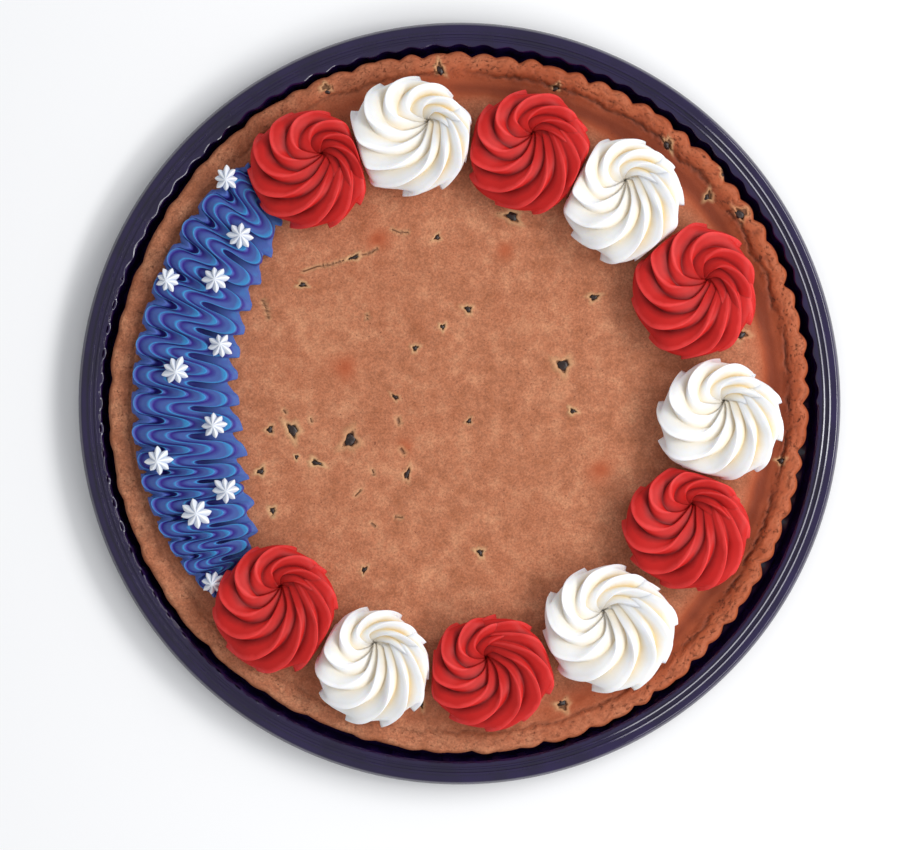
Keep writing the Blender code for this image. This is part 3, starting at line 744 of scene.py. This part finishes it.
SQUASH = 2.5 * MM  # the width over which icing gives way to its neighbour
GAP = 0.12 * MM  # between two rosettes that press together
LIT_FROM = (0.91, 0.41)  # roughly towards the key lamp


def tooth_shape(t):
    """How far in the star is, 0 on a crest to 1 in the groove, for a share t of one tooth."""
    falling = clamp(t / GROOVE_AT) ** 1.25
    rising = 1.0 - clamp((t - GROOVE_AT) / (1.0 - GROOVE_AT)) ** 0.95
    return np.where(t < GROOVE_AT, falling, rising)


def blunt_shape(t):
    """The same at the strand's outer side, where each fold ends in a blunt step before the next."""
    dropping = (RIM_STEP + 0.04) * clamp((RIM_DROP_AT - t) / (RIM_DROP_AT - 0.9))
    return np.where(t < 0.9, 0.04 + RIM_STEP * t ** 1.5, dropping)


def rosette_middle(rosette):
    """The middle of a rosette's outline."""
    return rosette[1] * np.array(direction(rosette[0])) * MM


def press_flat(places, rosette, other):
    """Presses a rosette against its neighbour: nothing passes the plane between them."""
    middle = rosette_middle(rosette)
    away = rosette_middle(other) - middle
    apart = float(np.hypot(*away))
    away /= apart
    plane = 0.5 * (apart + (rosette[2] - other[2]) * MM - GAP)
    over = np.maximum((places[:, :2] - middle) @ away - plane + SQUASH, 0.0)
    places[:, :2] += np.outer(SQUASH * (1.0 - np.exp(-over / SQUASH)) - over, away)


def swirl_places(u, v, rosette, number):
    """Where each point of the strand lies, how deep in a fold it is for the painted shade, and how lit it
    is for the painted glow.
    """
    middle, radius = rosette_middle(rosette), rosette[2] * MM
    tooth = u * TEETH
    t = tooth - np.floor(tooth)
    inward = tooth_shape(t)
    turned, left = TURNS * v, TURNS * (1.0 - v)  # turns since the start, and until the end
    heading = math.radians(rosette[4]) - math.tau * left
    path = radius * (0.30 + 0.20 * soft_step(turned / 0.40) + 0.05 * soft_step((0.22 - left) / 0.22))
    wobble = 1.0 + 0.025 * np.sin(3.0 * heading + 1.7 * number)
    wobble += 0.02 * np.sin(5.0 * heading + number)
    thick = radius * NOZZLE_SHARE * (0.72 + 0.28 * soft_step(turned / 0.35)) * wobble
    thick *= 0.10 + 0.90 * soft_step(left / 0.24) ** 0.7
    nozzle = math.tau * (u + NOZZLE_TURN * number)
    travel = heading + 0.5 * math.pi
    rng = random.Random(60 + number)
    least, most = (0.3, 1.0) if number % 2 else (0.05, 0.75)
    steps = np.array([rng.uniform(least, most) for _ in range(TEETH)])  # how marked each blunt end is
    behind = -np.cos(nozzle - travel)  # 1 on the trailing side, which becomes the top
    aside = np.sin(nozzle - travel)
    rim = (1.0 - soft_step(np.abs(behind) / 0.55)) * soft_step(-aside / 0.3)
    pulled = np.where(t > 0.0, blunt_shape(t), 0.0) * steps[np.floor(tooth).astype(int) % TEETH]
    inward *= 0.5 + 0.5 * soft_step(left / 0.35)
    reach = thick * (1.0 - FOLD_DEPTH * inward * (1.0 - rim) - pulled * rim)
    top = behind > 0.0
    under = clamp(-behind)
    along = np.where(top, -reach * behind, 0.10 * reach * under)
    # Under the rim the wall stands below the crests, which run in from one blunt end to the next
    turned_teeth = (heading / math.tau - NOZZLE_TURN * number) * TEETH
    since_end = (turned_teeth % 1.0) * math.tau / TEETH
    sideways = thick * np.sin(since_end)
    crest_line = thick * np.cos(since_end) + np.sqrt(np.maximum(path ** 2 - sideways ** 2, 0.0))
    set_in = (path + thick - crest_line) * steps[np.floor(turned_teeth).astype(int) % TEETH]
    wall = (thick - set_in - 0.4 * MM) * (1.0 - 0.10 * under)
    across = reach * aside * np.where(top, 1.0, 1.0 - 0.24 * under ** 0.6)
    across = np.where(~top & (aside < 0.0), np.maximum(across, wall * aside), across)
    x = path * np.cos(heading) + along * np.cos(travel) - across * np.sin(travel)
    y = path * np.sin(heading) + along * np.sin(travel) + across * np.cos(travel)
    # The eye sits off the middle of the outline
    out = clamp(np.hypot(x, y) / radius)
    shift = (1.0 - out) ** 1.3
    x += rosette[3][0] * MM * shift
    y += rosette[3][1] * MM * shift
    size = thick / (NOZZLE_SHARE * radius)
    lift = LAST_LIFT * soft_step((0.62 - left) / 0.5) - FIRST_SINK * soft_step((0.42 - turned) / 0.3)
    body = ICING_BASE + STRAND_FOOT * (0.6 + 0.4 * size) + lift
    rise = STRAND_TOP * size * (1.0 - 0.75 * FOLD_DEPTH * inward)
    z = np.maximum(body + np.where(top, rise, -STRAND_FOOT) * np.abs(behind) ** 0.8, ICING_FOOT)
    wide, tall, right, up = ROSETTE_SHAPES[number]
    places = np.stack([x * wide + middle[0] + right * MM, y * tall + middle[1] + up * MM, z], axis=1)
    # fold sets painted shade in the grooves, deepened towards the eye, and a painted highlight on the
    # crests; lit sets a painted glow on the side towards the key lamp
    fold = (1.0 - inward * (1.0 - 0.7 * rim)) * (0.35 + 0.65 * soft_step(out / 0.45))
    lit = soft_step(0.5 + 0.6 * (x * LIT_FROM[0] + y * LIT_FROM[1]) / radius)
    return places, {"fold": fold, "lit": lit}


def make_rosette(number, colour, material):
    """One rosette: the strand's grid, wound, pressed against its neighbours and closed."""
    rosette = ROSETTES[number]
    bm, u, v = new_grid(TEETH * len(TOOTH_POINTS), STRAND_RINGS)
    # Points crowd at the crests, where the surface bends most
    tooth, part = np.divmod(np.rint(u * TEETH * len(TOOTH_POINTS)).astype(int), len(TOOTH_POINTS))
    u = (tooth + np.array(TOOTH_POINTS)[part]) / TEETH
    places, values = swirl_places(u, v, rosette, number)
    for other in (number - 1, number + 1):
        if 0 <= other < len(ROSETTES):
            press_flat(places, rosette, ROSETTES[other])
    move_points(bm, places, values)
    close_piece(bm)
    mark = f"{colour}_{number // 2 + 1}"
    make_piece(bm, f"swirl_{mark}", material, f"rosette_{mark}")


# %% Pipe the ring of rosettes
for number in range(len(ROSETTES)):
    colour, icing = ("white", white_icing) if number % 2 else ("red", red_icing)
    make_rosette(number, colour, icing)

# %% [markdown]
# ## The blue band
#
# The band comes from the same nozzle, led to and fro in a tight zigzag. Each point of the star leaves
# a crest that snakes along the band, and the crests nest in each other. The grid's u runs across the
# band over all crests and v along it, so the crests are smooth lines of the mesh.

# %% Band sizes
# Angle in degrees, inner radius and outer radius in mm
BAND_EDGES = (
    (131.2, 128, 140.5), (134, 111, 142), (138, 106.5, 143), (142, 104, 143.4),
    (150, 101, 143.4), (161, 99, 143.4), (172, 97.5, 143.4), (180, 95.5, 143.4),
    (188, 95, 143.2), (193, 97, 143), (200, 99.5, 142.4), (207, 105, 141.2),
    (212, 112, 140), (218.6, 124, 137),
)
# Angles of the round turns on the outer edge, and of the fins' tips on the inner edge
OUTER_TURNS = (
    129.2, 135.2, 141, 146.9, 153, 158.1, 164, 169.4, 174.6, 179.8, 185.4, 190, 194, 198.4,
    202.8, 206.9, 210.9, 215, 219.2,
)
FIN_TIPS = (
    127.5, 134.8, 141.9, 149, 155.4, 161.3, 166.8, 171.9, 177.6, 183.3, 188.9, 194.4, 200.1, 206.3,
    212.5, 219,
)
# How far the strokes lean from straight inwards: angle in degrees, share
BAND_LEAN = ((131, 0), (165, 0.03), (180, 0.10), (195, 0.25), (212, 0.42))
BAND_WIDTH = 46.5  # mm, the width at which the places below hold
# Crests from the outer edge inwards: place from that edge, swing, height, and how much wider the
# outer turns are than the inner ones, in mm
BAND_CRESTS = (
    (6.9, 6.6, 7.6, 1.3), (15.2, 8.4, 9.5, 0.6), (23.5, 8.7, 9.8, 0.1), (32.6, 8.8, 8.8, -1.5),
)
ROUND_TURNS = (0.75, 0.55, 0.5, 0.8)  # mm that widens every turn at the cost of the strokes between
CREST_POINTS = (0.0, 0.04, 0.09, 0.14, 0.20, 0.26, 0.35, 0.47, 0.60, 0.73, 0.85, 0.94)
VALLEY_AT = 0.22  # share of the way from one crest to the next inner one
BAND_RINGS = 690
FOLD_SINK = 1.7  # mm from a crest down to the valley beside it
FIN_DEPTH = 4.6  # mm by which the fins stand out from the inner edge
LOBE_RADIUS = 3.4  # mm, of the round turns on the outer edge


def valley(t):
    """Depth between two crests: 0 on both and 1 in the groove just inside the first."""
    falling = soft_step(t / VALLEY_AT)
    rising = 1.0 - clamp((t - VALLEY_AT) / (1.0 - VALLEY_AT)) ** 0.9
    return np.where(t < VALLEY_AT, falling, rising)


def phase_at(angle, marks):
    """Counts the marks along the band, smoothly: whole at each mark's angle."""
    counts = np.arange(len(marks))
    return 0.5 * (np.interp(angle - 1.0, marks, counts) + np.interp(angle + 1.0, marks, counts))


def band_lines(angle):
    """The band's lines, outer foot to inner: mm from the outer edge, mm high and mm forward."""
    turn = math.tau * phase_at(angle, OUTER_TURNS)
    reach = 1.0 + 0.08 * np.sin(turn / 2.3) + 0.06 * np.sin(turn / 1.37 + 1.0)
    lines = []
    for number, (place, swing, height, wider) in enumerate(BAND_CRESTS):
        here = turn + 0.30 * np.sin(turn / 2.9 + 2.0 * number) * (0.4 + 0.2 * number)
        from_edge = place - swing * reach * np.cos(here)
        forward = ROUND_TURNS[number] * np.sin(2.0 * here) + wider * np.sin(here)
        lines.append((from_edge, height + 0.5 * np.sin(turn / 1.7 + number), forward))
    # 0 on a lobe's end and 1 between two
    off_turn = 2.0 * np.abs((phase_at(angle, OUTER_TURNS) + 0.5) % 1.0 - 0.5)
    lobe = LOBE_RADIUS * (1.0 - np.sqrt(1.0 - 0.98 * off_turn ** 2))
    lobe = np.minimum(lobe + 0.04 * np.maximum(0.0, lines[0][0] - 0.2), lines[0][0] - 0.15)
    # Fins on the inner edge: they grow slowly along the band and end in a sudden point
    saw = (phase_at(angle, FIN_TIPS) + 0.82) % 1.0
    fin_out = soft_step(saw / 0.80) * (1.0 - soft_step((saw - 0.84) / 0.16))
    fin = np.maximum(BAND_WIDTH - FIN_DEPTH * (1.0 - fin_out), lines[3][0] + 0.6)
    still = np.zeros(angle.shape)
    outer_forward, inner_forward = lines[0][2], 0.5 * lines[3][2]
    wall = lines[3][0] + 1.3
    return [
        (lobe + 2.4, still - 0.7, outer_forward), (lobe + 0.5, still + 1.6, outer_forward),
        (lobe, still + 3.4, outer_forward), *lines, (wall, lines[3][1] - 3.6, lines[3][2]),
        (fin, still + 2.9, inner_forward), (fin - 0.3, still + 1.4, inner_forward),
        (fin - 2.6, still - 0.7, inner_forward),
    ]


# What lies between one line and the next: a side, the outer lobe, a valley, a wall or a fin
BAND_SPANS = ("side", "side", "lobe", "valley", "valley", "valley", "wall", "fin", "side", "side")
SPAN_POINTS = {"side": 2, "lobe": 18, "valley": len(CREST_POINTS), "wall": 5, "fin": 14}


def band_steps():
    """Where the grid's columns lie, counted in spans."""
    steps = []
    for number, kind in enumerate(BAND_SPANS):
        count = SPAN_POINTS[kind]
        parts = CREST_POINTS if kind == "valley" else [i / count for i in range(count)]
        steps += [number + part for part in parts]
    return steps + [float(len(BAND_SPANS)), 0.0]


def band_places(steps, v):
    """Where each point of the band lies, and how deep in a fold it is, which sets its painted shade."""
    angles, inner, outer = (np.array(column) for column in zip(*BAND_EDGES))
    angle = angles[0] + (angles[-1] - angles[0]) * v
    inner, outer = np.interp(angle, angles, inner), np.interp(angle, angles, outer)
    narrow = (outer - inner) / BAND_WIDTH
    full = np.minimum(1.0, (outer - inner) / 38.0)
    lines = band_lines(angle)
    phase = math.tau * phase_at(angle, OUTER_TURNS)
    span = np.minimum(steps.astype(int), len(BAND_SPANS) - 1)
    part = steps - span
    from_edge, height, forward, fold = (np.zeros(v.shape) for _ in range(4))
    for number, kind in enumerate(BAND_SPANS):
        here = span == number
        t = part[here]
        (d0, h0, f0), (d1, h1, f1) = ([values[here] for values in lines[number + k]] for k in (0, 1))
        from_edge[here] = d0 + (d1 - d0) * t
        forward[here] = f0 + (f1 - f0) * t
        height[here] = h0 + (h1 - h0) * t
        fold[here] = 0.5
        wide = np.minimum(1.0, np.abs(d1 - d0) / 10.0)
        if kind == "valley":
            height[here] -= FOLD_SINK * valley(t)
            # Inside a tight inner turn the cord spreads into a bright pocket, painted as a highlight in the
            # valley
            at_turn = clamp(0.5 - 0.5 * np.cos(phase[here])) ** 6
            fold[here] = 1.0 - valley(t) * (1.0 - 0.75 * at_turn * soft_step((t - 0.45) / 0.4))
        elif kind == "lobe":
            # The stroke below shows between two lobes: a rounded face, then a step up darkened with painted
            # shade
            step_down = 3.4 * soft_step((t - 0.45) / 0.4) * (t < 0.985)
            height[here] += wide * (1.6 * np.sin(np.pi * t ** 0.7) - step_down)
            fold[here] = 0.62 - 0.62 * wide * soft_step((t - 0.4) / 0.4) + soft_step((t - 0.9) / 0.1)
        elif kind == "wall":
            # Painted shade darkens the wall towards its foot
            fold[here] = 1.0 - soft_step(t / 0.9)
        elif kind == "fin":
            height[here] += wide * (0.9 * np.sin(np.pi * t) - 1.2 * np.sin(np.pi * t ** 0.5))
            # Painted shade darkens each fin towards its foot
            fold[here] = 0.12 + 0.72 * soft_step(t / 0.8)
    radius = outer - from_edge * narrow
    middle = 0.5 * (inner + outer)
    lean = full * np.interp(angle, *zip(*BAND_LEAN)) * (outer - radius) / middle
    around = np.radians(angle) + lean + full * forward / middle
    z = (ICING_BASE / MM + height * np.where(height > 0.0, full, 1.0)) * np.ones(v.shape)
    places = np.stack([radius * np.cos(around), radius * np.sin(around), z], axis=1) * MM
    return places, clamp(fold)


def under_rosettes(places):
    """Lowers the band where a rosette stands on it."""
    for rosette in (ROSETTES[0], ROSETTES[-1]):
        away = np.hypot(*(places[:, :2] - rosette_middle(rosette)).T) / MM - rosette[2]
        share = soft_step((1.5 - away) / 5.0)
        places[:, 2] -= share * 0.72 * np.maximum(places[:, 2] - ICING_BASE, 0.0)


def make_band(material):
    """The blue band: a grid wrapped once round its section. Gives the places of its points."""
    steps = np.array(band_steps())
    bm, u, v = new_grid(len(steps) - 1, BAND_RINGS)
    places, fold = band_places(steps[np.rint(u * (len(steps) - 1)).astype(int)], v)
    under_rosettes(places)
    move_points(bm, places, {"fold": fold})
    close_piece(bm)
    make_piece(bm, "blue_zigzag", material, "icing_blue")
    return places


# Painted groove shade, painted glow, face and painted crest highlight, as for the rosettes
blue_icing = buttercream("Blue buttercream", "#402F8C", "#402F8C", "#4F67AA", "#4392C8", (0.5, 0.8, 2.0),
                         crest_at=0.985, gloss=0.16)
band_points = make_band(blue_icing)

# %% [markdown]
# ## The stars
#
# A small star nozzle is pressed down once and lifted: eight points lean out and the middle ends in a
# short tip. The grid's u runs round the star and v from foot to tip. The foot is sunk a little into
# the blue icing, because both were soft.

# %% Star sizes
# Place right of the middle and up from it, and radius, in mm
STARS = (
    (-101.7, 98.2, 5.4), (-95.6, 72.9, 5.8), (-127, 53.9, 5.2), (-106.5, 54.3, 5.8),
    (-104.3, 25.1, 5.4), (-123.9, 14.4, 6), (-106.7, -9.4, 5.5), (-131.1, -24.9, 6),
    (-102.1, -37.7, 5.8), (-115, -48.2, 6.6), (-107.3, -78.3, 5.2),
)
STAR_POINTS = 8
STAR_HEIGHT = 5.2  # mm
STAR_GROOVE = 0.7  # mm
STAR_SUNK = 0.5 * MM  # how far the foot is pressed into the blue icing
# From the foot to the tip: share of the radius, share of the height, how deep the notches are
STAR_PROFILE = (
    (0.66, -0.55, 0.26), (0.86, 0, 0.32), (1, 0.18, 0.37), (1.02, 0.28, 0.39), (0.92, 0.42, 0.39),
    (0.73, 0.57, 0.38), (0.53, 0.71, 0.36), (0.35, 0.84, 0.32), (0.17, 0.95, 0.22), (0, 1, 0),
)


def make_star(number, material):
    """One small star with its eight points."""
    x, y, radius = STARS[number]
    rng = random.Random(40 + number)
    near = np.hypot(band_points[:, 0] - x * MM, band_points[:, 1] - y * MM) < radius * 0.8 * MM
    base = float(band_points[near, 2].max()) - STAR_SUNK if near.any() else ICING_BASE
    bm, u, v = new_grid(12 * STAR_POINTS, 4 * (len(STAR_PROFILE) - 1))
    levels = np.linspace(0.0, 1.0, len(STAR_PROFILE))
    shares, heights, notches = (np.interp(v, levels, column) for column in zip(*STAR_PROFILE))
    turn = math.tau * u
    lobe = np.abs(1.0 - 2.0 * ((STAR_POINTS * u) % 1.0)) ** 0.8
    uneven = np.ones(u.shape)
    for order in (1, 2, 3, 4):
        uneven += rng.uniform(-0.07, 0.07) * np.cos(order * turn + rng.uniform(0.0, 6.28))
    reach = radius * shares * (1.0 - notches * (1.0 - lobe)) * uneven
    around = turn + rng.uniform(0.0, 0.8) + 0.25 * heights
    lean_x, lean_y = rng.uniform(-0.8, 0.8), rng.uniform(-0.8, 0.8)
    lean = clamp(heights) ** 2
    places = np.stack([(x + reach * np.cos(around) + lean_x * lean) * MM,
                       (y + reach * np.sin(around) + lean_y * lean) * MM,
                       base + (STAR_HEIGHT * heights - STAR_GROOVE * (1.0 - lobe) * shares) * MM], axis=1)
    # fold paints shade into the notches between the points
    move_points(bm, places, {"fold": 0.15 + 0.85 * lobe})
    close_piece(bm)
    make_piece(bm, f"star_piped_{number + 1}", material, f"star_{number + 1}")


# The stars stand in the open, so their painted groove shade takes the blue of the sky and of the band, as a
# painted reflection
star_icing = buttercream("Cool white buttercream", "#B4C2DC", "#C8D0E0", "#E6EBF3", "#F8FAFC",
                         (1.2, 1.2, 1.2))
for number in range(len(STARS)):
    make_star(number, star_icing)
